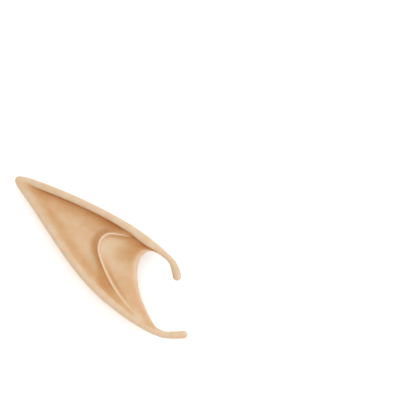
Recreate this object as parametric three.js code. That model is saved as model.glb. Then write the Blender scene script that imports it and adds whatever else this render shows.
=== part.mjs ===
// Elf ear tip: one hollow casting of latex that slips over the top of an ear.
// It lies on its back: +X points out of the open mouth, +Y to the hook, +Z out of the face.
// A front and a back meet in a rolled rim all round, apart from the mouth, where the pocket opens.
// The upper rim runs on into a hook with a knob, the lower rim into a straight prong.

import * as THREE from 'three';
import { mergeVertices } from 'three/addons/utils/BufferGeometryUtils.js';

// Driving sizes, in millimetres.
const earLength = 105.6; // point to the end of the prong, along X
const earHeight = 99.4; // top of the point to the underside of the prong, along Y
const rimLift = 16.5; // centre of the upper rim above the ground, where it stands highest
const rimWidth = 4.4; // rolled rim, seen from the front
const rimDepth = 4.6; // rolled rim, front to back
const pocketEdge = 0.6; // radius of the pocket's edge inside the rolled rim
const wall = 1.6; // skin of the front and of the back
const faceDip = 4.5; // how far the front sinks between the rims
const foldRise = 5; // step from the scapha up to the crest of the fold
const foldFoot = 6.5; // width of that step's slope
const crestFall = 1.8; // width of the crest's fall into the concha
const lipRoll = 0.8; // how far the front turns down at the mouth
const lipWidth = 3; // width of that turn
const bellyPress = 1.1; // how much of the round back is pressed flat where it lies
const mouthSetBack = 7; // the back's edge stands this far behind the front's

// Forms of the faces.
const conchaLevel = 0.72; // height of the concha, as a share of the fold's rise
const climb = 2.2; // power of the slope up to the crest: over 1, it steepens towards the top
const dipLean = 0.62; // below 1, the front sinks deepest near the upper rim
const bellyLean = 0.7; // below 1, the back bulges most near the upper rim
const bellyFlat = 0.5; // power of the bulge from rim to rim: below 1, its middle is flatter
const skinSlope = 1.1; // the skin measured upright, where it lies aslant
const foldFade = 0.08; // share of the way across in which the fold leaves the upper rim
const rimFade = 0.035; // share of the way across in which a face leaves a rim

// Stations run from the point, 0, over the fold, 1, to the mouth, 2, and to a rod's end, 3; stops
// are the shares of a rim's own way at which it gets there, and so is the first column of its table.
// Its x and y are its outline's shares of the length and height, its width and lift shares of
// rimWidth and rimLift.
const upperRim = {
  side: 1,
  frontAngle: -20, // the front starts low on the rim, in a groove
  stops: [0, 0.665, 0.84, 1],
  trace: track(['x', 'y', 'width', 'lift'], [
    [0.000, 0.020, 1.000, 0.77, 0.50],
    [0.050, 0.077, 0.988, 0.95, 0.54],
    [0.170, 0.206, 0.939, 1.02, 0.70],
    [0.355, 0.396, 0.854, 1.00, 0.92],
    [0.535, 0.580, 0.755, 0.96, 1.00],
    [0.665, 0.705, 0.676, 1.15, 0.97],
    [0.750, 0.784, 0.615, 1.20, 0.86],
    [0.840, 0.859, 0.547, 0.93, 0.74],
    [0.900, 0.908, 0.496, 0.80, 0.66],
    [0.930, 0.930, 0.467, 0.91, 0.62],
    [0.970, 0.951, 0.419, 1.09, 0.57],
    [1.000, 0.957, 0.386, 1.11, 0.55],
  ]),
};
const lowerRim = {
  side: -1,
  frontAngle: 35, // and high on this one, in a soft roll
  stops: [0, 0.795, 0.905, 1],
  trace: track(['x', 'y', 'width', 'lift'], [
    [0.000, 0.001, 0.975, 0.77, 0.50],
    [0.040, 0.026, 0.921, 0.95, 0.52],
    [0.140, 0.103, 0.800, 1.09, 0.60],
    [0.285, 0.215, 0.618, 1.14, 0.72],
    [0.430, 0.333, 0.438, 1.14, 0.80],
    [0.580, 0.469, 0.274, 1.14, 0.83],
    [0.725, 0.627, 0.136, 1.14, 0.79],
    [0.795, 0.708, 0.080, 1.14, 0.75],
    [0.850, 0.774, 0.040, 1.09, 0.64],
    [0.905, 0.846, 0.010, 1.01, 0.53],
    [0.945, 0.904, 0.001, 1.00, 0.43],
    [1.000, 0.980, 0.000, 1.00, 0.36],
  ]),
};

// Lines across the ear, from the upper rim, 0, to the lower rim, 1. The fold's rise is a share of
// foldRise: it fades out where the fold runs into the rims.
const foldLine = track(['x', 'y', 'rise'], [
  [0.00, 0.673, 0.628, 0.55],
  [0.09, 0.609, 0.641, 0.85],
  [0.18, 0.540, 0.646, 0.97],
  [0.25, 0.500, 0.613, 1.00],
  [0.34, 0.485, 0.551, 1.00],
  [0.43, 0.503, 0.478, 0.95],
  [0.56, 0.537, 0.392, 0.80],
  [0.68, 0.581, 0.306, 0.62],
  [0.84, 0.650, 0.207, 0.33],
  [1.00, 0.730, 0.116, 0.05],
]);
const mouthLine = track(['x', 'y'], [
  [0.00, 0.834, 0.516],
  [0.06, 0.800, 0.533],
  [0.12, 0.766, 0.532],
  [0.18, 0.740, 0.510],
  [0.23, 0.720, 0.481],
  [0.33, 0.708, 0.422],
  [0.44, 0.709, 0.355],
  [0.58, 0.724, 0.265],
  [0.75, 0.764, 0.164],
  [0.87, 0.796, 0.100],
  [0.93, 0.819, 0.073],
  [1.00, 0.858, 0.053],
]);

// Bulge of the back at each station, as a share of the way from the rims down to the ground, and
// dip of the front, as a share of faceDip.
const fullness = track(['belly', 'dip'], [
  [0.00, 0.000, 0.00],
  [0.10, 0.220, 0.15],
  [0.30, 0.620, 0.40],
  [0.60, 0.950, 0.75],
  [0.85, 0.995, 1.00],
  [1.00, 1.000, 1.00],
  [1.30, 0.990, 0.80],
  [2.00, 0.880, 0.55],
]);
const backAngle = 215; // where the back starts on a rim
const tipEnd = 0.25; // station at which the rims have left the round point

// Fineness of the mesh.
const stations = [
  0, 0.05, 0.11, 0.18, 0.26, 0.35, 0.45, 0.55, 0.65, 0.74, 0.82, 0.88, 0.925, 0.96, 0.982, 1,
  1.05, 1.12, 1.25, 1.45, 1.65, 1.82, 1.93, 2,
];
const pocketStart = 0.35; // station where the pocket closes towards the point
const arcSteps = 7; // round a rim
const faceSteps = 20; // from rim to rim
const rodSteps = 12; // along the hook and along the prong
const rodRoot = 0.02; // first step of a rod, as a share of its length
const capSteps = 3; // over a rod's round end
const tipSteps = 4; // round the point
const crestSteps = 100; // along the fold, to find the nearest point of its crest
const crowding = 0.35; // how much closer the mesh is beside the rims
const alongStep = 0.005; // share of a rim's way in which its direction is taken
const weld = 1e-3; // points nearer than this are one

// Gives named values at any station, on a smooth line through a table's rows.
function track(names, rows) {
  const places = rows.map((row) => row[0]);
  const values = rows.flatMap((row) => row.slice(1));
  const curve = new THREE.CubicInterpolant(places, values, names.length);
  return (place) => {
    const found = curve.evaluate(place);
    return Object.fromEntries(names.map((name, i) => [name, found[i]]));
  };
}

function mix(a, b, share) {
  return a + (b - a) * share;
}

// A place on the ear seen from the front, from its shares of the length and height.
function planPoint({ x, y }) {
  return new THREE.Vector2((x - 0.5) * earLength, (y - 0.5) * earHeight);
}

// The share of a rim's way that belongs to a station.
function rimPlace(rim, station) {
  const stage = Math.min(Math.floor(station), 2);
  return mix(rim.stops[stage], rim.stops[stage + 1], station - stage);
}

// Section of a rim: its centre, the way to the ear's inside, its radii and where the faces start.
function rimSection(rim, station) {
  const place = rimPlace(rim, station);
  const here = rim.trace(place);
  const before = planPoint(rim.trace(Math.max(place - alongStep, 0)));
  const after = planPoint(rim.trace(Math.min(place + alongStep, 1)));
  const along = after.sub(before).normalize();
  const inward = new THREE.Vector2(along.y, -along.x).multiplyScalar(rim.side);
  const halfWidth = here.width * rimWidth / 2;
  const open = THREE.MathUtils.smoothstep(station, 0, tipEnd);
  return {
    along,
    inward,
    centre: planPoint(here).addScaledVector(inward, halfWidth),
    lift: here.lift * rimLift,
    halfWidth,
    halfDepth: Math.min(halfWidth, rimDepth / 2),
    frontAngle: mix(90, rim.frontAngle, open),
    backAngle: mix(270, backAngle, open),
  };
}

const tipCentre = rimSection(upperRim, 0).centre.add(rimSection(lowerRim, 0).centre).divideScalar(2);

function section(rim, station) {
  const found = rimSection(rim, station);
  if (station === 0) found.centre = tipCentre;
  return found;
}

// A point on a section, at an angle from its inner side over its top.
function onSection({ centre, inward, lift }, angle, halfWidth, halfDepth) {
  const turn = THREE.MathUtils.degToRad(angle);
  const plan = centre.clone().addScaledVector(inward, halfWidth * Math.cos(turn));
  return new THREE.Vector3(plan.x, plan.y, lift + halfDepth * Math.sin(turn));
}

// The part of a rim's section that shows outside, or its pocket's edge, from the front to the back.
function rimArc(rim, station, inside) {
  const cut = section(rim, station);
  const halfWidth = inside ? pocketEdge : cut.halfWidth;
  const halfDepth = inside ? pocketEdge : cut.halfDepth;
  const points = [];
  for (let k = 0; k <= arcSteps; k += 1) {
    const angle = mix(cut.frontAngle, cut.backAngle, k / arcSteps);
    points.push(onSection(cut, angle, halfWidth, halfDepth));
  }
  return points;
}

const crest = [];
for (let i = 0; i <= crestSteps; i += 1) {
  const share = i / crestSteps;
  crest.push({ share, point: planPoint(foldLine(share)) });
}

// Distance to the fold's crest, and the share of the way along it of its nearest point.
function nearCrest(plan) {
  let best = { gap: Infinity };
  for (const { share, point } of crest) {
    const gap = point.distanceTo(plan);
    if (gap < best.gap) best = { gap, share };
  }
  return best;
}

// A place between the rims: across from rim to rim at a station, with ends on the two given points.
function facePlan(station, across, upperEnd, lowerEnd) {
  const foldPoint = (share) => planPoint(foldLine(share));
  const mouthPoint = (share) => planPoint(mouthLine(share));
  const rib = station < 1
    ? (share) => tipCentre.clone().lerp(foldPoint(share), station)
    : (share) => foldPoint(share).lerp(mouthPoint(share), station - 1);
  const upperShift = new THREE.Vector2(upperEnd.x, upperEnd.y).sub(rib(0));
  const lowerShift = new THREE.Vector2(lowerEnd.x, lowerEnd.y).sub(rib(1));
  return rib(across).addScaledVector(upperShift, 1 - across).addScaledVector(lowerShift, across);
}

// How high the fold and the concha stand over the scapha. Inside, the skin has no crest.
function foldHeight(station, across, plan, inside) {
  const near = nearCrest(plan);
  const rise = foldRise * THREE.MathUtils.smoothstep(across, 0, foldFade) * (inside ? conchaLevel : 1);
  if (station < 1) {
    const foot = inside ? foldFoot - wall : foldFoot;
    return rise * foldLine(near.share).rise * Math.max(1 - near.gap / foot, 0) ** climb;
  }
  const fall = Math.exp(-((near.gap / crestFall) ** 2));
  return rise * foldLine(across).rise * (inside ? 1 : mix(conchaLevel, 1, fall));
}

// 0 on a rim, 1 a short way into the face.
function offRim(across) {
  return 1 - Math.exp(-Math.min(across, 1 - across) / rimFade);
}

function frontPoint(station, across, upperEnd, lowerEnd, inside) {
  const plan = facePlan(station, across, upperEnd, lowerEnd);
  const dip = faceDip * fullness(station).dip * Math.sin(Math.PI * across ** dipLean);
  const fold = foldHeight(station, across, plan, inside);
  const roll = lipRoll * Math.max(1 - (2 - station) * mouthReach / lipWidth, 0) ** 2;
  const skin = inside ? skinSlope * wall : 0;
  const height = mix(upperEnd.z, lowerEnd.z, across) - dip + fold - (roll + skin) * offRim(across);
  return new THREE.Vector3(plan.x, plan.y, height);
}

// The back lies on the ground on a flat patch under its belly.
function backPoint(station, across, upperEnd, lowerEnd, inside) {
  const plan = facePlan(station, across, upperEnd, lowerEnd);
  const rims = mix(upperEnd.z, lowerEnd.z, across);
  const belly = fullness(station).belly * Math.sin(Math.PI * across ** bellyLean) ** bellyFlat;
  const skin = inside ? skinSlope * wall : 0;
  const height = rims - (rims + bellyPress) * belly + skin * offRim(across);
  plan.x -= mouthSetBack * Math.sin(Math.PI * across) * THREE.MathUtils.smoothstep(station, 1, 2);
  return new THREE.Vector3(plan.x, plan.y, Math.max(height, inside ? wall : 0));
}

// Plan distance from the fold to the mouth, half way down.
const mouthReach = planPoint(foldLine(0.5)).distanceTo(planPoint(mouthLine(0.5)));

// Points from rim to rim, closer together near the rims. Both ends are the rims' own points.
function faceRow(makePoint, station, upperEnd, lowerEnd, inside) {
  const points = [];
  for (let j = 0; j <= faceSteps; j += 1) {
    const share = j / faceSteps;
    const across = share - crowding * Math.sin(2 * Math.PI * share) / (2 * Math.PI);
    points.push(makePoint(station, across, upperEnd, lowerEnd, inside));
  }
  points[0] = upperEnd;
  points[faceSteps] = lowerEnd;
  return points;
}

// All the points round the ear at a station, outside or inside the skin.
function ringAt(station, inside) {
  const upper = rimArc(upperRim, station, inside);
  const lower = rimArc(lowerRim, station, inside);
  return {
    upper: [...upper].reverse(),
    front: faceRow(frontPoint, station, upper[0], lower[0], inside),
    lower,
    back: faceRow(backPoint, station, upper[arcSteps], lower[arcSteps], inside).reverse(),
  };
}

// The casting's skin, gathered as triangles.
const corners = [];
function addTriangle(a, b, c) {
  if (a.distanceTo(b) < weld || b.distanceTo(c) < weld || c.distanceTo(a) < weld) return;
  for (const point of [a, b, c]) corners.push(point.x, point.y, point.z);
}

// Fills a grid of points with triangles that face out, or into the pocket.
function addGrid(rows, inside = false) {
  for (let i = 0; i + 1 < rows.length; i += 1) {
    for (let j = 0; j + 1 < rows[i].length; j += 1) {
      const quad = [rows[i][j], rows[i][j + 1], rows[i + 1][j + 1], rows[i + 1][j]];
      if (inside) quad.reverse();
      const [a, b, c, d] = quad;
      if (a.distanceTo(c) < b.distanceTo(d)) {
        addTriangle(a, b, c);
        addTriangle(a, c, d);
      } else {
        addTriangle(a, b, d);
        addTriangle(b, c, d);
      }
    }
  }
}

const sides = ['upper', 'front', 'lower', 'back'];

function addOutside() {
  const rings = stations.map((station) => ringAt(station, false));
  for (const side of sides) addGrid(rings.map((ring) => ring[side]));
  return rings.at(-1);
}

// Towards the point the pocket closes along a seam, half way between the front and the back.
function addPocket() {
  const rings = stations.filter((station) => station > pocketStart).map((station) => ringAt(station, true));
  const { front, back } = ringAt(pocketStart, false);
  const seam = front.map((point, j) => point.clone().lerp(back[faceSteps - j], 0.5));
  const upperEnd = onSection(section(upperRim, pocketStart), 0, 0, 0);
  const lowerEnd = onSection(section(lowerRim, pocketStart), 0, 0, 0);
  seam[0] = upperEnd;
  seam[faceSteps] = lowerEnd;
  const starts = {
    upper: rings[0].upper.map(() => upperEnd),
    front: seam,
    lower: rings[0].lower.map(() => lowerEnd),
    back: [...seam].reverse(),
  };
  for (const side of sides) addGrid([starts[side], ...rings.map((ring) => ring[side])], true);
  return rings.at(-1);
}

// The round point: the upper rim's arc turns about the point until it is the lower rim's.
function addTip() {
  const upper = section(upperRim, 0);
  const lower = section(lowerRim, 0);
  const rows = [];
  for (let i = 0; i <= tipSteps; i += 1) {
    const turn = mix(lower.inward.angle(), upper.inward.angle() - 2 * Math.PI, i / tipSteps);
    const cut = { ...upper, inward: new THREE.Vector2(Math.cos(turn), Math.sin(turn)) };
    const row = [];
    for (let k = 0; k <= arcSteps; k += 1) {
      const angle = mix(upper.backAngle, upper.frontAngle, k / arcSteps);
      row.push(onSection(cut, angle, cut.halfWidth, cut.halfDepth));
    }
    rows.push(row);
  }
  rows[0] = [...rimArc(lowerRim, 0, false)].reverse();
  rows[tipSteps] = [...rimArc(upperRim, 0, false)].reverse();
  addGrid(rows);
}

// A rod runs on from a rim: its root is the rim's arc outside and the pocket's edge inside.
function addRod(rim, rootOutside, rootInside) {
  const rows = [[...rootOutside, ...[...rootInside].reverse()]];
  const addRow = (cut, scale, forward) => {
    const first = rim.side > 0 ? cut.backAngle : cut.frontAngle;
    const shown = rim.side * (cut.frontAngle - cut.backAngle) / arcSteps;
    const hidden = rim.side * (cut.backAngle - cut.frontAngle - 360) / (arcSteps + 2);
    const row = [];
    for (let k = 0; k < 2 * (arcSteps + 1); k += 1) {
      const angle = first + Math.min(k, arcSteps) * shown + Math.max(k - arcSteps, 0) * hidden;
      const point = onSection(cut, angle, cut.halfWidth * scale, cut.halfDepth * scale);
      point.x += cut.along.x * forward;
      point.y += cut.along.y * forward;
      row.push(point);
    }
    rows.push(row);
  };
  addRow(section(rim, 2 + rodRoot), 1, 0);
  for (let i = 1; i <= rodSteps; i += 1) addRow(section(rim, 2 + i / rodSteps), 1, 0);
  const end = section(rim, 3);
  for (let i = 1; i <= capSteps; i += 1) {
    const turn = i / capSteps * Math.PI / 2;
    addRow(end, i < capSteps ? Math.cos(turn) : 0, end.halfWidth * Math.sin(turn));
  }
  addGrid(rows.map((row) => [...row, row[0]]));
}

function earTipGeometry() {
  addTip();
  const outside = addOutside();
  const inside = addPocket();
  addGrid([outside.front, inside.front]);
  addGrid([outside.back, inside.back]);
  addRod(upperRim, outside.upper, inside.upper);
  addRod(lowerRim, outside.lower, inside.lower);
  const geometry = new THREE.BufferGeometry();
  geometry.setAttribute('position', new THREE.Float32BufferAttribute(corners, 3));
  const skin = mergeVertices(geometry, weld);
  skin.computeVertexNormals();
  return skin;
}

const latex = new THREE.MeshStandardMaterial({ color: 0xe3c19b, roughness: 0.55, metalness: 0 });
const earTip = new THREE.Mesh(earTipGeometry(), latex);
earTip.name = 'ear_tip';

const elfEar = new THREE.Group();
elfEar.add(earTip);

export default elfEar;
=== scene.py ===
import math

import bmesh
import bpy
import numpy as np
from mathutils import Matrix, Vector


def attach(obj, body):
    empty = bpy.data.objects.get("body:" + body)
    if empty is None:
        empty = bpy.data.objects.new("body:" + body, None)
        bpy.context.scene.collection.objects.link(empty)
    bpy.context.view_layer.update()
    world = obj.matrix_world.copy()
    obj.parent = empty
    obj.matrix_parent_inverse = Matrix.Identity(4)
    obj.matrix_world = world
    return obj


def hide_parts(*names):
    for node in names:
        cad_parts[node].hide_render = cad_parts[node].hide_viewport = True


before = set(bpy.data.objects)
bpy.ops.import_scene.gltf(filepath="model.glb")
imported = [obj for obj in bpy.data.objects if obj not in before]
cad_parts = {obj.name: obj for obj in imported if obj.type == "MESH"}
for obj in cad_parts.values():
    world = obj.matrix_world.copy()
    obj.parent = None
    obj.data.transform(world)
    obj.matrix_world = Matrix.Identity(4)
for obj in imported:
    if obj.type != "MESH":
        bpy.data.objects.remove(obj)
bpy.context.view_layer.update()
mm = 0.001  # all shapes below are worked out in millimetres, as cast


# Elf ear tip. It lies on its back: +X out of the open mouth, +Y to the hook, +Z out of the face.
ear = {
    "length": 105.6,  # point to the end of the prong, along X
    "height": 99.4,  # top of the point to the underside of the prong, along Y
    "rimLift": 16.5,  # centre of the upper rim above the table, where it stands highest
    "rimWidth": 4.4,
    "rimDepth": 4.6,
    "pocketEdge": 0.6,  # radius of the pocket's edge inside the rolled rim
    "wall": 1.6,  # skin of the front and of the back
    "faceDip": 4.5,  # how far the front sinks between the rims
    "troughWidth": 4.0,  # how fast the front falls away from the upper rim
    "rollWidth": 3.6,  # and from the lower rim
    "valley": 0.62,  # depth of the front beside the lower rim, as a share of faceDip
    "valleyChange": 0.3,  # how much deeper it is by the fold, and how much shallower past it
    "valleyEnd": 0.75,  # share of its depth that it loses where the fold comes down
    "shoulder": 0.34,  # low ridge between the trough and that valley, as a share of faceDip
    "shoulderAt": 0.54,  # as a share of the way from rim to rim
    "shoulderWidth": 0.15,
    "foldRise": 5.2,  # step from the scapha up to the crest of the fold
    "foldFoot": 6.5,  # width of that step's slope
    "foldClimb": 1.15,  # over 1, the slope steepens towards the crest
    "crestFall": 1.1,  # width of the crest's fall into the concha
    "crestGroove": 0.5,  # depth of the crease behind the crest
    "creaseFrom": 1.7,  # distance of that crease from the crest
    "creaseWidth": 0.9,
    "pocketRise": 0.74,  # rise of the fold on the pocket's side, as a share of foldRise
    "pocketClimb": 2.2,  # there its slopes are softer
    "pocketFall": 2.5,
    "conchaLess": 0.35,  # share of the concha's depth that is lost on the way to the mouth
    "lipRoll": 0.8,  # how far the front turns down at the mouth
    "lipWidth": 3.0,
    "lipRoom": 0.55,  # room for the mouth's round edge, as a share of wall
    "wallBelow": 1.1,  # the skin on its slopes, measured straight down, as a share of wall
    "bellyPress": 1.1,  # how much of the round back is pressed flat on the table
    "bellyLean": 0.7,  # under 1, the belly stands nearer the upper rim
    "bellyFlat": 0.5,  # under 1, it is broad
    "mouthSetBack": 7.0,  # the back's edge stands this far behind the front's
    "foldFade": 0.08,  # share of the way across in which the fold leaves the upper rim
    "foldClear": 1.6,  # distance from that rim at which it has its full rise
    "foldJoin": 2.3,  # how far the front climbs the rim there
    "joinWidth": 1.5,  # of that climb
    "rimFade": 0.035,  # share of the way across in which a face leaves a rim
}

# Share of a rim's way, x and y of its outline as shares of length and height, its width and lift
# as shares of rimWidth and rimLift. Stops are the shares at the point, fold, mouth and free end.
upperRim = {
    "side": 1,
    "frontAngle": -35.0,  # the front starts low on the rim, in a groove
    "mouthAngle": 10.0,  # but half way up on it at the mouth
    "joinAngle": 60.0,  # and this much higher where the fold runs into it
    "stops": [0, 0.665, 0.84, 1],
    "rows": [
        [0.000, 0.029, 0.9985, 1.26, 0.50],
        [0.025, 0.0535, 0.9960, 1.18, 0.52],
        [0.050, 0.078, 0.9905, 1.10, 0.54],
        [0.170, 0.207, 0.942, 1.05, 0.70],
        [0.355, 0.397, 0.857, 1.03, 0.92],
        [0.535, 0.581, 0.759, 1.02, 1.00],
        [0.665, 0.706, 0.680, 1.18, 0.97],
        [0.750, 0.785, 0.619, 1.23, 0.91],
        [0.840, 0.862, 0.551, 0.97, 0.81],
        [0.900, 0.912, 0.500, 0.86, 0.71],
        [0.930, 0.935, 0.470, 0.98, 0.65],
        [0.970, 0.957, 0.420, 1.18, 0.57],
        [1.000, 0.964, 0.386, 1.20, 0.55],
    ],
}
lowerRim = {
    "side": -1,
    "frontAngle": None,  # on this one the front leaves the roll in its own slope
    "mouthAngle": 25.0,
    "stops": [0, 0.795, 0.905, 1],
    "rows": [
        [0.000, 0.0030, 0.962, 1.26, 0.50],
        [0.020, 0.0110, 0.9425, 1.18, 0.51],
        [0.040, 0.0235, 0.921, 1.09, 0.52],
        [0.140, 0.103, 0.800, 1.09, 0.60],
        [0.285, 0.215, 0.618, 1.14, 0.72],
        [0.430, 0.333, 0.438, 1.14, 0.80],
        [0.580, 0.469, 0.274, 1.14, 0.83],
        [0.725, 0.627, 0.136, 1.14, 0.79],
        [0.795, 0.708, 0.080, 1.14, 0.75],
        [0.850, 0.774, 0.040, 1.09, 0.68],
        [0.905, 0.846, 0.008, 1.03, 0.57],
        [0.945, 0.904, -0.001, 1.03, 0.46],
        [1.000, 0.978, -0.001, 1.11, 0.36],
    ],
}
# Lines across the ear from the upper to the lower rim: share, x, y, and the fold's rise, foot and
# crease as shares of foldRise, foldFoot and crestGroove.
foldLine = [
    [0.00, 0.673, 0.628, 0.55, 0.50, 0.0],
    [0.09, 0.609, 0.641, 0.85, 0.55, 0.6],
    [0.18, 0.540, 0.646, 0.97, 0.65, 1.0],
    [0.25, 0.500, 0.613, 1.00, 0.80, 0.3],
    [0.34, 0.485, 0.551, 1.00, 0.95, 0.0],
    [0.43, 0.503, 0.478, 0.95, 1.15, 0.3],
    [0.56, 0.537, 0.392, 0.80, 1.35, 1.0],
    [0.68, 0.581, 0.306, 0.66, 1.40, 1.1],
    [0.84, 0.650, 0.207, 0.34, 1.20, 0.3],
    [1.00, 0.730, 0.116, 0.05, 1.00, 0.0],
]
mouthLine = [
    [0.00, 0.834, 0.518],
    [0.06, 0.797, 0.537],
    [0.12, 0.760, 0.538],
    [0.18, 0.730, 0.516],
    [0.23, 0.711, 0.486],
    [0.33, 0.699, 0.424],
    [0.44, 0.701, 0.356],
    [0.58, 0.719, 0.265],
    [0.75, 0.762, 0.164],
    [0.87, 0.796, 0.100],
    [0.93, 0.819, 0.073],
    [1.00, 0.858, 0.053],
]
# At each station, from the point, 0, over the fold, 1, to the mouth, 2: bulge of the back as a
# share of the way down to the table, and dip of the front as a share of faceDip.
fullness = [
    [0.00, 0.000, 0.00],
    [0.10, 0.220, 0.25],
    [0.30, 0.620, 0.60],
    [0.60, 0.950, 0.88],
    [0.85, 0.995, 1.00],
    [1.00, 1.000, 1.00],
    [1.30, 0.990, 0.80],
    [2.00, 0.880, 0.55],
]
# Depth of the concha across, as a share of faceDip, and the lift of its hump beyond the crease.
conchaAcross = [
    [0.00, 0.00, 0.0],
    [0.04, 0.14, 0.0],
    [0.10, 0.27, 0.0],
    [0.20, 0.40, 0.0],
    [0.32, 0.42, 0.0],
    [0.45, 0.36, 0.05],
    [0.60, 0.30, 0.12],
    [0.75, 0.28, 0.10],
    [0.87, 0.26, 0.0],
    [0.95, 0.13, 0.0],
    [1.00, 0.00, 0.0],
]
mesh = {
    "arcSteps": 9,  # round a rim
    "faceSteps": 58,  # from rim to rim, over the front and the back
    "lipSteps": 4,  # round the mouth's edge
    "rodSteps": 22,
    "capSteps": 5,
    "tipSteps": 8,
    "crestSteps": 700,  # points on the crest and on a rim's edge, to measure distances from
    "edgeSteps": 500,
    "slopeStep": 0.005,  # share of a rim's way over which its direction is measured
    "pocketStart": 0.35,  # station where the pocket closes towards the point
    "tipEnd": 0.25,  # station at which the rims have left the round point
    "backAngle": 215.0,  # where the back leaves a rim: 180 is straight out, 270 straight down
    "crowding": 0.45,  # how much closer the mesh is beside the rims
    "rodFade": 0.45,  # share of a rod in which its root becomes round
    "mergeWithin": 0.002,  # points this close become one
}
# Painted shade and painted highlights of the front: amounts of shade in its grooves and hollows
# and of highlight on crests and edges, and widths in mm.
paintedLight = {
    "skin": 0.07,  # a little painted shade everywhere
    "groove": 1.05,  # painted shade under the upper rim, where the rim shades the groove
    "grooveWidth": 2.0,
    "grooveSpread": 2.4,  # width of its soft half at the point
    "grooveGrowth": 3.2,  # and how much wider that grows
    "conchaSpread": 5.0,  # and its width past the fold
    "grooveByFold": 0.3,  # more by the fold, as a share
    "grooveJoin": 0.65,  # less where the fold runs into the rim
    "valley": 0.25,  # painted shade beside the lower rim
    "valleyFrom": 4.0,
    "valleyWidth": 3.2,
    "flank": 0.32,  # painted shade on the slope below the crest
    "flankMore": 0.12,  # and more below the crest's corner
    "crestLine": 0.6,  # painted shade close under the crest
    "crestLineWidth": 1.4,
    "corner": 0.36,  # painted shade in the concha's corner, under the hook, in the rim's shadow
    "basin": 0.17,  # painted shade lower in the concha
    "crease": 0.3,  # painted shade in the crease behind the crest
    "most": 1.2,  # most painted shade, however much comes together
    "highlightScapha": 0.45,  # width of the crest's painted highlight on either side
    "highlightConcha": 0.7,
    "lipHighlight": 0.3,  # painted highlight on the mouth's edge
    "lipWidth": 1.5,
    "paintedSheen": 0.36,  # painted sheen in the concha, beside the crest's corner
    "paintedSheenFrom": 4.0,
    "paintedSheenWidth": 3.5,
    "fadeOnRim": 0.2,  # share of a rim's arc on which the front's painted shade fades
    "pocket": 0.5,  # painted shade inside it, all over
}


def onTable(rows, place):  # a smooth line through a table's rows
    table = np.array(rows, float)
    at, values = table[:, 0], table[:, 1:]
    slopes = np.zeros_like(values)
    slopes[1:-1] = (values[2:] - values[:-2]) / (at[2:] - at[:-2])[:, None]
    slopes[0] = 1.5 * (values[1] - values[0]) / (at[1] - at[0]) - 0.5 * slopes[1]
    slopes[-1] = 1.5 * (values[-1] - values[-2]) / (at[-1] - at[-2]) - 0.5 * slopes[-2]
    place = np.clip(np.asarray(place, float), at[0], at[-1])
    i = np.clip(np.searchsorted(at, place, side="right") - 1, 0, len(at) - 2)
    step = (at[i + 1] - at[i])[..., None]
    t = (place - at[i])[..., None] / step
    start = (1 + 2 * t) * (1 - t) ** 2 * values[i] + t * (1 - t) ** 2 * step * slopes[i]
    end = t * t * (3 - 2 * t) * values[i + 1] + t * t * (t - 1) * step * slopes[i + 1]
    return start + end


def smooth(value, low, high):
    share = np.clip((value - low) / (high - low), 0, 1)
    return share * share * (3 - 2 * share)


def bell(value, middle, width):
    return np.exp(-(((value - middle) / width) ** 2))


def inPlan(shares):
    return (shares - 0.5) * np.array([ear["length"], ear["height"]])


def byFold(station):  # rises to 1 as the front comes near the fold
    return smooth(station, 0.55, 0.95)


def valleyDepth(station):  # beside the lower rim, as a share of faceDip
    pastFold = smooth(station, 1.0, 1.3)
    beside = byFold(station) * (1 - pastFold)
    return ear["valley"] + ear["valleyChange"] * beside - ear["valleyChange"] * pastFold


def runOut(station):  # that valley runs out where the fold's crest comes down to the lower rim
    return ear["valleyEnd"] * smooth(station, 0.7, 1)


def foldJoin(station):  # 1 where the fold runs into the upper rim
    return smooth(station, 0.89, 0.975) * (1 - smooth(station, 1.0, 1.2))


# Section of a rim at each station: its centre, the way to the ear's inside, and its radii. Both
# rims start at one centre, in the round point.
def rimSection(rim, station, fromTip=True):
    station = np.atleast_1d(np.asarray(station, float))
    place = np.interp(station, [0, 1, 2, 3], rim["stops"])
    here = onTable(rim["rows"], place)
    before = inPlan(onTable(rim["rows"], np.maximum(place - mesh["slopeStep"], 0))[:, :2])
    after = inPlan(onTable(rim["rows"], np.minimum(place + mesh["slopeStep"], 1))[:, :2])
    along = (after - before) / np.linalg.norm(after - before, axis=1, keepdims=True)
    inward = np.stack([along[:, 1], -along[:, 0]], axis=1) * rim["side"]
    halfWidth = here[:, 2] * ear["rimWidth"] / 2
    left = smooth(station, 0, mesh["tipEnd"])
    if rim["frontAngle"] is None:
        fall = ear["faceDip"] * onTable(fullness, station)[:, 1] * valleyDepth(station)
        fall = fall * (1 - runOut(station))
        slope = np.degrees(np.arctan2(ear["rollWidth"], fall))
        frontAngle = slope + (rim["mouthAngle"] - slope) * smooth(station, 1.6, 2)
    else:
        low = rim["frontAngle"] + (rim["mouthAngle"] - rim["frontAngle"]) * smooth(station, 1.1, 2)
        frontAngle = 90 + (low - 90) * left + rim["joinAngle"] * foldJoin(station)
    cut = {
        "along": along,
        "inward": inward,
        "centre": inPlan(here[:, :2]) + inward * halfWidth[:, None],
        "lift": here[:, 3] * ear["rimLift"],
        "halfWidth": halfWidth,
        "halfDepth": np.minimum(halfWidth, ear["rimDepth"] / 2),
        "frontAngle": frontAngle,
        "backAngle": 270 + (mesh["backAngle"] - 270) * left,
    }
    if fromTip:
        cut["centre"][station == 0] = tipCentre
    return cut


rimStarts = [rimSection(rim, 0, False)["centre"][0] for rim in (upperRim, lowerRim)]
tipCentre = (rimStarts[0] + rimStarts[1]) / 2


# Points on sections: one row for each station, one column for each angle.
def onSection(cut, angles, halfWidth, halfDepth):
    turn = np.radians(angles)
    reach = np.asarray(halfWidth)[..., None] * np.cos(turn)
    plan = cut["centre"][:, None, :] + cut["inward"][:, None, :] * reach[..., None]
    lift = cut["lift"][:, None] + np.asarray(halfDepth)[..., None] * np.sin(turn)
    return np.concatenate([plan, lift[..., None]], axis=2)


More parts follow.
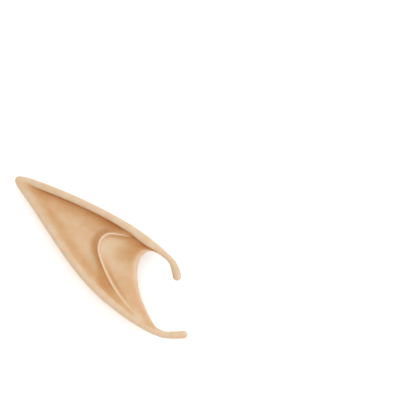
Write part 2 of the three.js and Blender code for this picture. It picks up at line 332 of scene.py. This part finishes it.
def rimArc(rim, station, inside):
    cut = rimSection(rim, station)
    share = np.linspace(0, 1, mesh["arcSteps"] + 1)
    angles = cut["frontAngle"][:, None] + (cut["backAngle"] - cut["frontAngle"])[:, None] * share
    edge = np.full_like(cut["halfWidth"], ear["pocketEdge"])
    if inside:
        return onSection(cut, angles, edge, edge)
    return onSection(cut, angles, cut["halfWidth"], cut["halfDepth"])


crestShares = np.linspace(0, 1, mesh["crestSteps"])
crestPoints = inPlan(onTable(foldLine, crestShares)[:, :2])
crestForms = np.column_stack([onTable(foldLine, crestShares)[:, 2:], crestShares])


# Distance to the fold's crest; its rise, foot, crease and share at the nearest point.
def nearCrest(plan):
    gap = np.empty(plan.shape[:2])
    form = np.empty(plan.shape[:2] + (4,))
    for i, row in enumerate(plan):
        far = np.linalg.norm(row[:, None, :] - crestPoints[None], axis=2)
        gap[i], form[i] = far.min(axis=1), crestForms[far.argmin(axis=1)]
    return gap, *np.moveaxis(form, -1, 0)


# Places between the rims: across from rim to rim at each station, with its ends on the rims.
def facePlan(station, across, upperEnd, lowerEnd):
    fold = inPlan(onTable(foldLine, across)[:, :2])[None]
    mouth = inPlan(onTable(mouthLine, across)[:, :2])[None]
    reach = np.linalg.norm(mouth - fold, axis=2, keepdims=True)
    mouth = fold + (mouth - fold) * (1 - ear["lipRoom"] * ear["wall"] / reach)
    s = station[:, None, None]
    rib = np.where(s < 1, tipCentre + (fold - tipCentre) * s, fold + (mouth - fold) * (s - 1))
    v = across[None, :, None]
    upperShift = upperEnd[:, None, :2] - rib[:, :1]
    lowerShift = lowerEnd[:, None, :2] - rib[:, -1:]
    return rib + upperShift * (1 - v) + lowerShift * v


foldEnds = [rimArc(rim, 1, False)[:, 0] for rim in (upperRim, lowerRim)]
edgeStations = np.linspace(0, 2, mesh["edgeSteps"])
rimEdges = [rimArc(rim, edgeStations, False)[:, 0, :2] for rim in (upperRim, lowerRim)]


# Distances to the upper and the lower rim, and the share of the way between them.
def rimGaps(plan):
    gaps = np.empty((2,) + plan.shape[:2])
    for edge, gap in zip(rimEdges, gaps):
        for i, row in enumerate(plan):
            gap[i] = np.linalg.norm(row[:, None, :] - edge[None], axis=2).min(axis=1)
    return gaps[0], gaps[1], gaps[0] / np.maximum(gaps[0] + gaps[1], 1e-6)


def offRim(across):  # 0 on a rim, 1 a short way into the face
    return 1 - np.exp(-np.minimum(across, 1 - across) / ear["rimFade"])


mouthReach = np.linalg.norm(inPlan(onTable(foldLine, 0.5)[:2]) - inPlan(onTable(mouthLine, 0.5)))


# Depth of the front below its rims, as a share of faceDip, on the point's side of the crest.
def scaphaDepth(station, across, plan):
    s, v = station[:, None], across[None, :]
    fromUpper, toLower, between = rimGaps(plan)
    trough = 1 - np.exp(-fromUpper / ear["troughWidth"])
    roll = valleyDepth(np.minimum(s, 1)) * (1 - np.exp(-toLower / ear["rollWidth"]))
    far = smooth(between, 0.3, 0.78)
    shoulder = ear["shoulder"] * bell(between, ear["shoulderAt"], ear["shoulderWidth"])
    end = 1 - runOut(s) * smooth(v, 0.7, 0.98)
    return (trough * (1 - far) + roll * far) * end - shoulder * (1 - byFold(s))


# The painted shade and painted highlight at a place of the front. Gap, rise and along are the
# distance to the fold's crest and that crest's rise and share at its nearest point.
def frontPaintedLight(s, v, gap, rise, along, foot, crease, fromUpper, toLower):
    inConcha = s > 1
    spread = paintedLight["grooveSpread"] + paintedLight["grooveGrowth"] * smooth(s, 0.1, 0.6)
    spread = np.where(inConcha, paintedLight["conchaSpread"], spread)
    # painted shade in the groove under the upper rim
    groove = 0.5 * np.exp(-fromUpper / paintedLight["grooveWidth"]) + 0.5 * np.exp(-fromUpper / spread)
    groove = groove * (1 + paintedLight["grooveByFold"] * byFold(s) * ~inConcha)
    groove = groove * smooth(s, 0.03, 0.32) * (1 - smooth(s, 1.65, 2))
    groove = groove * (paintedLight["groove"] - paintedLight["grooveJoin"] * foldJoin(s))
    # painted shade in the valley beside the lower rim
    valley = paintedLight["valley"] * bell(toLower, paintedLight["valleyFrom"], paintedLight["valleyWidth"])
    valley = valley * smooth(s, 0.12, 0.5) * (1 - smooth(s, 0.78, 1))
    # The slope's painted shade is narrow half way along the crest and wide at its lower end.
    low = foot * (0.9 - 0.4 * smooth(along, 0.28, 0.42) + 0.5 * smooth(along, 0.42, 0.64))
    flank = paintedLight["flank"] + paintedLight["flankMore"] * smooth(along, 0.2, 0.45)
    flank = flank * (1 - smooth(gap / low, 0.45, 1.25))
    # painted shade in a line close under the crest
    crestLine = paintedLight["crestLine"] * np.exp(-gap / paintedLight["crestLineWidth"])
    crestLine = crestLine * smooth(along, 0.24, 0.42) * (1 - 0.8 * smooth(along, 0.6, 0.75))
    flank = (flank + crestLine) * rise ** 0.4 * smooth(v, 0.04, 0.2)
    flank = flank * ~inConcha * (1 - 0.5 * smooth(along, 0.7, 0.9))
    # painted shade in the concha's corner under the hook, in its lower basin and in the crease
    corner = paintedLight["corner"] * smooth(s, 1.3, 1.75) * (1 - smooth(v, 0.2, 0.42))
    corner = corner * (1 - smooth(s, 1.85, 2))
    basin = paintedLight["basin"] * smooth(v, 0.3, 0.6) * (1 - smooth(v, 0.9, 1))
    basin = basin * smooth(gap, 0.5, 4)
    concha = (corner + basin + paintedLight["crease"] * crease) * inConcha
    paintedShade = paintedLight["skin"] + groove + flank * (1 - 0.5 * groove) + valley + concha
    # painted highlights: along the crest, on the mouth's edge, and a painted sheen in the concha
    crest = rise ** 0.8 * bell(gap, 0, np.where(s < 1, paintedLight["highlightScapha"], paintedLight["highlightConcha"]))
    crest = crest * (1 - 0.6 * smooth(v, 0.6, 0.85))
    lipHighlight = paintedLight["lipHighlight"] * bell((2 - s) * mouthReach, 0, paintedLight["lipWidth"])
    paintedSheen = paintedLight["paintedSheen"] * bell(gap, paintedLight["paintedSheenFrom"], paintedLight["paintedSheenWidth"]) * inConcha
    paintedSheen = paintedSheen * smooth(v, 0.12, 0.25) * (1 - smooth(v, 0.28, 0.45))
    paintedHighlight = np.clip((crest + lipHighlight + paintedSheen) * smooth(v, 0.02, 0.14), 0, 1)
    paintedShade = np.clip(paintedShade, 0, paintedLight["most"]) * (1 - paintedHighlight) * smooth(toLower, 0, 1.5)
    return paintedShade, paintedHighlight


# The front climbs from the trough to the fold's crest, falls into the concha and turns down at
# the mouth. It comes with its painted shade and painted highlight.
def frontFace(station, across, upperEnd, lowerEnd, inside):
    plan = facePlan(station, across, upperEnd, lowerEnd)
    s, v = station[:, None], across[None, :]
    dip = ear["faceDip"] * onTable(fullness, station)[:, 1:]
    gap, nearRise, nearFoot, nearCrease, nearShare = nearCrest(plan)
    fromUpper, toLower, between = rimGaps(plan)
    join = ear["foldJoin"] * foldJoin(s)
    climb, fallWidth, level = ear["foldClimb"], ear["crestFall"], 1
    if inside:
        join = join * (ear["pocketEdge"] / ear["rimDepth"] * 2)
        climb, fallWidth, level = ear["pocketClimb"], ear["pocketFall"], ear["pocketRise"]
    height = (upperEnd[:, None, 2] - join) * (1 - between) + lowerEnd[:, None, 2] * between
    height = height + join * np.exp(-fromUpper / ear["joinWidth"])
    leave = smooth(v, 0, ear["foldFade"]) * smooth(fromUpper, 0, ear["foldClear"])
    rise = ear["foldRise"] * leave * level
    foot = np.minimum(ear["foldFoot"] * nearFoot, gap + toLower)
    scapha = rise * nearRise * np.maximum(1 - gap / foot, 0) ** climb
    scapha = scapha - dip * scaphaDepth(station, across, plan)
    onFold = facePlan(np.ones(1), across, foldEnds[0], foldEnds[1])
    atCrest = scaphaDepth(np.ones(1), across, onFold) * ear["faceDip"]
    crest = rise * onTable(foldLine, across)[None, :, 2] - atCrest
    past = np.clip(s - 1, 0, 1)
    depth, hump = onTable(conchaAcross, across)[None].transpose(2, 0, 1)
    bowl = depth * (1 - ear["conchaLess"] * past) - hump * np.sin(np.pi * past) ** 2
    bowl = -ear["faceDip"] * bowl
    concha = bowl + (crest - bowl) * bell(gap, 0, fallWidth)
    crease = nearCrease * bell(gap, ear["creaseFrom"], ear["creaseWidth"])
    if not inside:
        concha = concha - ear["crestGroove"] * crease
    height = height + np.where(s < 1, scapha, concha)
    roll = ear["lipRoll"] * np.maximum(1 - (2 - s) * mouthReach / ear["lipWidth"], 0) ** 2
    below = ear["wallBelow"] * ear["wall"] if inside else 0
    height = height - (roll + below) * offRim(across)[None]
    paintedShade, paintedHighlight = np.zeros_like(height), np.zeros_like(height)
    if not inside:
        paintedShade, paintedHighlight = frontPaintedLight(
            s, v, gap, nearRise, nearShare, foot, crease, fromUpper, toLower)
    return np.concatenate([plan, height[..., None]], axis=2), paintedShade, paintedHighlight


# The back lies on the table on a flat patch under its belly.
def backFace(station, across, upperEnd, lowerEnd, inside):
    plan = facePlan(station, across, upperEnd, lowerEnd)
    s, v = station[:, None], across[None, :]
    rims = upperEnd[:, None, 2] * (1 - v) + lowerEnd[:, None, 2] * v
    bulge = onTable(fullness, station)[:, :1]
    belly = bulge * np.sin(np.pi * v ** ear["bellyLean"]) ** ear["bellyFlat"]
    above = ear["wallBelow"] * ear["wall"] if inside else 0
    height = rims - (rims + ear["bellyPress"]) * belly + above * offRim(across)[None]
    height = np.maximum(height, ear["wall"] if inside else 0)
    plan[..., 0] -= ear["mouthSetBack"] * np.sin(np.pi * v) * smooth(s, 1, 2)
    return np.concatenate([plan, height[..., None]], axis=2)


def acrossSteps(count):  # closer together near the rims
    share = np.linspace(0, 1, count + 1)
    return np.clip(share - mesh["crowding"] * np.sin(2 * np.pi * share) / (2 * np.pi), 0, 1)


# All the points round the ear at each station, outside or inside the skin.
def rings(station, inside):
    steps = acrossSteps(mesh["faceSteps"])
    upper = rimArc(upperRim, station, inside)
    lower = rimArc(lowerRim, station, inside)
    front, paintedShade, paintedHighlight = frontFace(station, steps, upper[:, 0], lower[:, 0], inside)
    back = backFace(station, steps, upper[:, -1], lower[:, -1], inside)
    front[:, 0], front[:, -1] = upper[:, 0], lower[:, 0]
    back[:, 0], back[:, -1] = upper[:, -1], lower[:, -1]
    # the front's painted shade fades a little way onto the rims
    fading = 1 - smooth(np.linspace(0, 1, mesh["arcSteps"] + 1), 0, paintedLight["fadeOnRim"])
    return {
        "upper": upper[:, ::-1],
        "front": front,
        "lower": lower,
        "back": back[:, ::-1],
        "paintedShade": paintedShade,
        "paintedHighlight": paintedHighlight,
        "upperPaintedShade": (paintedShade[:, :1] * fading)[:, ::-1],
        "lowerPaintedShade": paintedShade[:, -1:] * fading,
    }


skin = {"points": [], "paintedShade": [], "paintedHighlight": [], "quads": []}


def addGrid(points, paintedShade=0.0, paintedHighlight=0.0, inside=False):
    rows, columns = points.shape[:2]
    index = len(skin["points"]) + np.arange(rows * columns).reshape(rows, columns)
    quads = np.stack([index[:-1, :-1], index[:-1, 1:], index[1:, 1:], index[1:, :-1]], axis=-1)
    quads = quads.reshape(-1, 4)
    skin["points"].extend((points.reshape(-1, 3) * mm).tolist())
    skin["paintedShade"].extend(np.broadcast_to(paintedShade, (rows, columns)).ravel().tolist())
    skin["paintedHighlight"].extend(np.broadcast_to(paintedHighlight, (rows, columns)).ravel().tolist())
    skin["quads"].extend((quads[:, ::-1] if inside else quads).tolist())


# Stations stand close together at the point, on both sides of the fold's crest and at the lip.
outsideStations = np.concatenate([
    [0, 0.02, 0.04, 0.065, 0.09],
    np.linspace(0.12, 0.86, 30),
    [0.88, 0.9, 0.918, 0.935, 0.949, 0.961, 0.971, 0.979, 0.986, 0.991, 0.9955],
    [1, 1.012, 1.026, 1.042, 1.06, 1.08, 1.105, 1.135],
    np.linspace(1.175, 1.85, 16),
    [1.89, 1.925, 1.955, 1.98, 2],
])
insideStations = outsideStations[outsideStations > mesh["pocketStart"]][::2]
insideStations = np.append(insideStations[insideStations < 1.99], 2)

outer = rings(outsideStations, False)
inner = rings(insideStations, True)
addGrid(outer["front"], outer["paintedShade"], outer["paintedHighlight"])
addGrid(outer["upper"], outer["upperPaintedShade"])
addGrid(outer["lower"], outer["lowerPaintedShade"])
addGrid(outer["back"])

# Towards the point the pocket closes along a seam, half way between the front and the back.
closing = np.array([mesh["pocketStart"]])
ringThere = rings(closing, False)
seam = (ringThere["front"] + ringThere["back"][:, ::-1])[0] / 2
for i, rim in [(0, upperRim), (-1, lowerRim)]:
    seam[i] = onSection(rimSection(rim, closing), np.zeros((1, 1)), 0, 0)[0, 0]
seams = [("front", seam), ("back", seam[::-1]), ("upper", seam[0]), ("lower", seam[-1])]
# inside the pocket, painted shade all over
for side, points in seams:
    first = np.broadcast_to(points, inner[side][:1].shape)
    addGrid(np.concatenate([first, inner[side]]), paintedLight["pocket"], inside=True)


# The round edge of the mouth, from the outside of the skin to its inside.
def lipRows(shown, hidden, forward):
    middle = (shown + hidden) / 2
    half = np.linalg.norm(shown - hidden, axis=1, keepdims=True) / 2
    rows = []
    for i in range(mesh["lipSteps"] + 1):
        turn = math.pi * i / mesh["lipSteps"]
        rows.append(middle + (shown - middle) * math.cos(turn) + forward * half * math.sin(turn))
    return np.array(rows)


def outOfMouth(rows):  # the level way in which a face runs out at the mouth
    ahead = (rows[-1] - rows[-3]) * np.array([1, 1, 0])
    return ahead / np.linalg.norm(ahead, axis=1, keepdims=True)


frontLip = lipRows(outer["front"][-1], inner["front"][-1], outOfMouth(outer["front"]))
backLip = lipRows(outer["back"][-1], inner["back"][-1], outOfMouth(outer["back"]))
roundLip = np.linspace(0, 1, mesh["lipSteps"] + 1)[:, None]
# painted highlight on the mouth's round edge; the front's painted shade fades into it
addGrid(frontLip, outer["paintedShade"][-1:] * (1 - roundLip) ** 2, paintedLight["lipHighlight"])
addGrid(backLip, 0, paintedLight["lipHighlight"])

# The round point: the upper rim's arc turns about the point until it is the lower rim's.
upperTip, lowerTip = rimSection(upperRim, 0), rimSection(lowerRim, 0)
turnStart = math.atan2(lowerTip["inward"][0, 1], lowerTip["inward"][0, 0])
turnEnd = math.atan2(upperTip["inward"][0, 1], upperTip["inward"][0, 0])
turnEnd -= 2 * math.pi * math.ceil((turnEnd - turnStart) / (2 * math.pi))
tipRows = []
for i in range(mesh["tipSteps"] + 1):
    turn = turnStart + (turnEnd - turnStart) * i / mesh["tipSteps"]
    cut = dict(upperTip, inward=np.array([[math.cos(turn), math.sin(turn)]]))
    angles = np.linspace(upperTip["backAngle"][0], upperTip["frontAngle"][0], mesh["arcSteps"] + 1)
    tipRows.append(onSection(cut, angles[None], cut["halfWidth"], cut["halfDepth"])[0])
tipRows[0] = outer["lower"][0][::-1]
tipRows[-1] = outer["upper"][0]
addGrid(np.array(tipRows))


# A rod runs on from a rim. Its root is the rim outside and the pocket's edge inside.
def addRod(rim, rootLoop):
    shownSteps, hiddenSteps = mesh["arcSteps"], mesh["arcSteps"] + 2 * mesh["lipSteps"]
    end = rimSection(rim, 3)
    front, back = end["frontAngle"][0], end["backAngle"][0]
    first = back if rim["side"] > 0 else front
    shown = rim["side"] * (front - back)
    hidden = rim["side"] * (back - front - 360)
    k = np.arange(len(rootLoop))
    angles = first + np.minimum(k, shownSteps) * shown / shownSteps
    angles = angles + np.maximum(k - shownSteps, 0) * hidden / hiddenSteps
    station = 2 + np.linspace(0, 1, mesh["rodSteps"] + 1)
    cut = rimSection(rim, station)
    turns = np.broadcast_to(angles, (len(station), len(k)))
    rows = onSection(cut, turns, cut["halfWidth"], cut["halfDepth"])
    fade = 1 - smooth(station - 2, 0, mesh["rodFade"])
    rows = rows + (rootLoop - rows[0])[None] * fade[:, None, None]
    caps = []
    for i in range(1, mesh["capSteps"] + 1):
        turn = i / mesh["capSteps"] * math.pi / 2
        scale = math.cos(turn) if i < mesh["capSteps"] else 0
        cap = onSection(end, angles[None], end["halfWidth"] * scale, end["halfDepth"] * scale)[0]
        cap[:, :2] += end["along"][0] * end["halfWidth"][0] * math.sin(turn)
        caps.append(cap)
    rows = np.concatenate([rows, np.array(caps)])
    addGrid(np.concatenate([rows, rows[:, :1]], axis=1))


frontEdge, backEdge = frontLip[1:-1], backLip[1:-1]
addRod(upperRim, np.concatenate([
    outer["upper"][-1], frontEdge[:, 0], inner["upper"][-1][::-1], backEdge[::-1, -1]]))
addRod(lowerRim, np.concatenate([
    outer["lower"][-1], backEdge[:, 0], inner["lower"][-1][::-1], frontEdge[::-1, -1]]))

# Where grids meet, their points get one painted shade and one painted highlight between them.
mergeWithin = mesh["mergeWithin"] * mm
cells = np.round(np.array(skin["points"]) / mergeWithin)
spot = np.unique(cells, axis=0, return_inverse=True)[1].ravel()
for name in ["paintedShade", "paintedHighlight"]:
    skin[name] = (np.bincount(spot, skin[name]) / np.bincount(spot))[spot]

earMesh = bpy.data.meshes.new("elfEarTip")
build = bmesh.new()
# attributes that carry the painted shade and the painted highlight to the material
paintedShadeLayer = build.verts.layers.float.new("paintedShade")
paintedHighlightLayer = build.verts.layers.float.new("paintedHighlight")
corners = []
for point, paintedShade, paintedHighlight in zip(skin["points"], skin["paintedShade"], skin["paintedHighlight"]):
    corner = build.verts.new(point)
    corner[paintedShadeLayer] = paintedShade
    corner[paintedHighlightLayer] = paintedHighlight
    corners.append(corner)
for quad in skin["quads"]:
    build.faces.new([corners[i] for i in quad])
bmesh.ops.remove_doubles(build, verts=build.verts, dist=mergeWithin)
bmesh.ops.recalc_face_normals(build, faces=build.faces)
openEdges = sum(not edge.is_manifold for edge in build.edges)
for face in build.faces:
    face.smooth = True
build.to_mesh(earMesh)
build.free()
elfEarTip = bpy.data.objects.new("elfEarTip", earMesh)
bpy.context.scene.collection.objects.link(elfEarTip)
smoothing = elfEarTip.modifiers.new("smoothSkin", "SUBSURF")
smoothing.levels = 1
smoothing.render_levels = 1
print("ear tip:", len(earMesh.polygons), "faces, open edges", openEdges)


def hexToLinear(code):
    parts = [int(code[i:i + 2], 16) / 255 for i in (1, 3, 5)]
    return [p / 12.92 if p <= 0.04045 else ((p + 0.055) / 1.055) ** 2.4 for p in parts] + [1]


def addNode(tree, kind, settings={}, inputs={}):
    node = tree.nodes.new(kind)
    for name, value in settings.items():
        setattr(node, name, value)
    for name, value in inputs.items():
        if isinstance(value, bpy.types.NodeSocket):
            tree.links.new(value, node.inputs[name])
        else:
            node.inputs[name].default_value = value
    return node


# Natural rubber latex cast in a plaster mould: a dry, matt skin with a soft sheen, its pigment a
# little uneven; painted shade makes it warmer and darker in the grooves, painted highlights
# lighter on crests.
latex = {
    "base": "#dabe9c",
    "rosy": "#dbbc9c",
    "shadeTint": "#d89f62",  # colour that the deepest painted shade leaves of the light, warm as shade is in latex
    # the colour of the painted highlights
    "highlightTint": "#f4dfc6",
    "blotchSize": 11.0,  # mm
    "blotchLow": 0.4,  # noise below this is all base, above blotchHigh all rosy
    "blotchHigh": 0.62,
    "mottleSize": 5.0,  # mm, streaks where the pigment settled unevenly
    "mottleLow": 0.35,
    "mottleHigh": 0.65,
    "mottle": 0.1,  # amount of pigment from the weakest streak to the strongest
    "highlightShare": 0.6,  # how far a painted highlight goes towards its light colour
    "grainSize": 0.9,  # mm; the real grain, 0.2 mm, is too fine to show
    "grainHeight": 0.02,  # mm
    "ior": 1.52,
    "roughness": 0.6,
    "subsurface": 0.15,
    "subsurfaceScale": 1.5,  # mm, how far red light goes under the skin
    "subsurfaceRadius": (1.0, 0.5, 0.25),
}


# On a colour Mix node the factor is socket 0, the colours are 6 and 7, the result is output 2.
def castLatex():
    made = bpy.data.materials.new("castLatex")
    made.use_nodes = True
    tree = made.node_tree
    tree.nodes.clear()
    place = addNode(tree, "ShaderNodeTexCoord")
    blotches = addNode(tree, "ShaderNodeTexNoise", {}, {
        "Vector": place.outputs["Object"], "Scale": 1000 / latex["blotchSize"], "Detail": 3.0})
    tint = addNode(tree, "ShaderNodeMapRange", {}, {
        "Value": blotches.outputs["Fac"], "From Min": latex["blotchLow"],
        "From Max": latex["blotchHigh"]})
    body = addNode(tree, "ShaderNodeMix", {"data_type": "RGBA"}, {
        0: tint.outputs["Result"], 6: hexToLinear(latex["base"]), 7: hexToLinear(latex["rosy"])})
    # painted shade: the shade colour raised to the shade's amount, the mottle added, darkens the
    # body colour
    paintedShade = addNode(tree, "ShaderNodeAttribute", {"attribute_name": "paintedShade"})
    streaks = addNode(tree, "ShaderNodeTexNoise", {}, {
        "Vector": place.outputs["Object"], "Scale": 1000 / latex["mottleSize"], "Detail": 3.0})
    uneven = addNode(tree, "ShaderNodeMapRange", {}, {
        "Value": streaks.outputs["Fac"], "From Min": latex["mottleLow"],
        "From Max": latex["mottleHigh"],
        "To Min": -latex["mottle"] / 2, "To Max": latex["mottle"] / 2})
    shadeAndMottle = addNode(tree, "ShaderNodeMath", {"operation": "ADD"}, {
        0: paintedShade.outputs["Fac"], 1: uneven.outputs["Result"]})
    left = addNode(tree, "ShaderNodeCombineColor")
    for channel, share in zip(left.inputs, hexToLinear(latex["shadeTint"])):
        kept = addNode(tree, "ShaderNodeMath", {"operation": "POWER"}, {
            0: share, 1: shadeAndMottle.outputs[0]})
        tree.links.new(kept.outputs[0], channel)
    deep = addNode(tree, "ShaderNodeMix", {"data_type": "RGBA", "blend_type": "MULTIPLY"}, {
        0: 1.0, 6: body.outputs[2], 7: left.outputs[0]})
    # the painted highlight lightens the colour towards the highlight colour
    paintedHighlight = addNode(tree, "ShaderNodeAttribute", {"attribute_name": "paintedHighlight"})
    highlighted = addNode(tree, "ShaderNodeMath", {"operation": "MULTIPLY"}, {
        0: paintedHighlight.outputs["Fac"], 1: latex["highlightShare"]})
    colour = addNode(tree, "ShaderNodeMix", {"data_type": "RGBA"}, {
        0: highlighted.outputs[0], 6: deep.outputs[2], 7: hexToLinear(latex["highlightTint"])})
    grain = addNode(tree, "ShaderNodeTexNoise", {}, {
        "Vector": place.outputs["Object"], "Scale": 1000 / latex["grainSize"], "Detail": 2.0})
    bump = addNode(tree, "ShaderNodeBump", {}, {
        "Height": grain.outputs["Fac"], "Distance": latex["grainHeight"] * mm, "Strength": 1.0})
    shader = addNode(tree, "ShaderNodeBsdfPrincipled", {}, {
        "Base Color": colour.outputs[2], "Normal": bump.outputs[0], "IOR": latex["ior"],
        "Roughness": latex["roughness"], "Subsurface Weight": latex["subsurface"],
        "Subsurface Radius": latex["subsurfaceRadius"],
        "Subsurface Scale": latex["subsurfaceScale"] * mm})
    addNode(tree, "ShaderNodeOutputMaterial", {}, {"Surface": shader.outputs[0]})
    return made


earMesh.materials.append(castLatex())
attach(elfEarTip, "root")
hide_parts("ear_tip")
print("latex material on")


# Studio: a white light table under the ear, a broad soft light from the upper right.
studio = {
    "table": "#fbfbfb",
    "tableSize": 6.0,  # m
    "tableDrop": 0.1,  # mm below the ear's underside, so that the two don't share a plane
    "tableRoughness": 0.9,
    "tableSpecular": 0.1,
    "tableGlow": 0.22,
    "worldLight": 0.8,
    "keyPower": 15.0,  # W
    "keySize": 2.0,  # m
    "keyFrom": (0.9, 0.2, 1.6),  # m, from the ear
}
# Opal acrylic sheet, sanded: white and without a mirror image, lit a little from below.
opalAcrylic = bpy.data.materials.new("opalAcrylic")
opalAcrylic.use_nodes = True
tableShader = opalAcrylic.node_tree.nodes["Principled BSDF"]
tableShader.inputs["Base Color"].default_value = hexToLinear(studio["table"])
tableShader.inputs["Roughness"].default_value = studio["tableRoughness"]
tableShader.inputs["Specular IOR Level"].default_value = studio["tableSpecular"]
tableShader.inputs["Emission Color"].default_value = (1, 1, 1, 1)
tableShader.inputs["Emission Strength"].default_value = studio["tableGlow"]
half = studio["tableSize"] / 2
floorMesh = bpy.data.meshes.new("studioTable")
floorCorners = [(-half, -half, 0), (half, -half, 0), (half, half, 0), (-half, half, 0)]
floorMesh.from_pydata(floorCorners, [], [(0, 1, 2, 3)])
floorMesh.materials.append(opalAcrylic)
floor = bpy.data.objects.new("studioTable", floorMesh)
floor.location.z = -studio["tableDrop"] * mm
bpy.context.scene.collection.objects.link(floor)

world = bpy.data.worlds.new("studioWorld")
world.use_nodes = True
world.node_tree.nodes["Background"].inputs["Color"].default_value = (1, 1, 1, 1)
world.node_tree.nodes["Background"].inputs["Strength"].default_value = studio["worldLight"]
bpy.context.scene.world = world
keyData = bpy.data.lights.new("keyLight", "AREA")
keyData.energy = studio["keyPower"]
keyData.size = studio["keySize"]
keyLight = bpy.data.objects.new("keyLight", keyData)
keyLight.location = studio["keyFrom"]
keyLight.rotation_euler = (-Vector(studio["keyFrom"])).to_track_quat("-Z", "Y").to_euler()
bpy.context.scene.collection.objects.link(keyLight)
bpy.context.scene.view_settings.view_transform = "Standard"

# Camera: straight down from above the middle of the picture, 0.61 mm a pixel on the ear.
view = {
    "pixel": 0.61,  # mm
    "pictureSide": 416,
    "earAt": (101.05, 257.35),  # the ear's origin in the picture, in pixels
    "focus": 10.0,  # mm above the table
    "lens": 300.0,
    "sensor": 36.0,
}
pictureWidth = view["pixel"] * view["pictureSide"] * mm
cameraData = bpy.data.cameras.new("camera")
cameraData.lens = view["lens"]
cameraData.sensor_width = view["sensor"]
camera = bpy.data.objects.new("camera", cameraData)
camera.location = (
    (view["pictureSide"] / 2 - view["earAt"][0]) * view["pixel"] * mm,
    (view["earAt"][1] - view["pictureSide"] / 2) * view["pixel"] * mm,
    view["focus"] * mm + pictureWidth * view["lens"] / view["sensor"],
)
bpy.context.scene.collection.objects.link(camera)
bpy.context.scene.camera = camera
print("studio and camera ready")
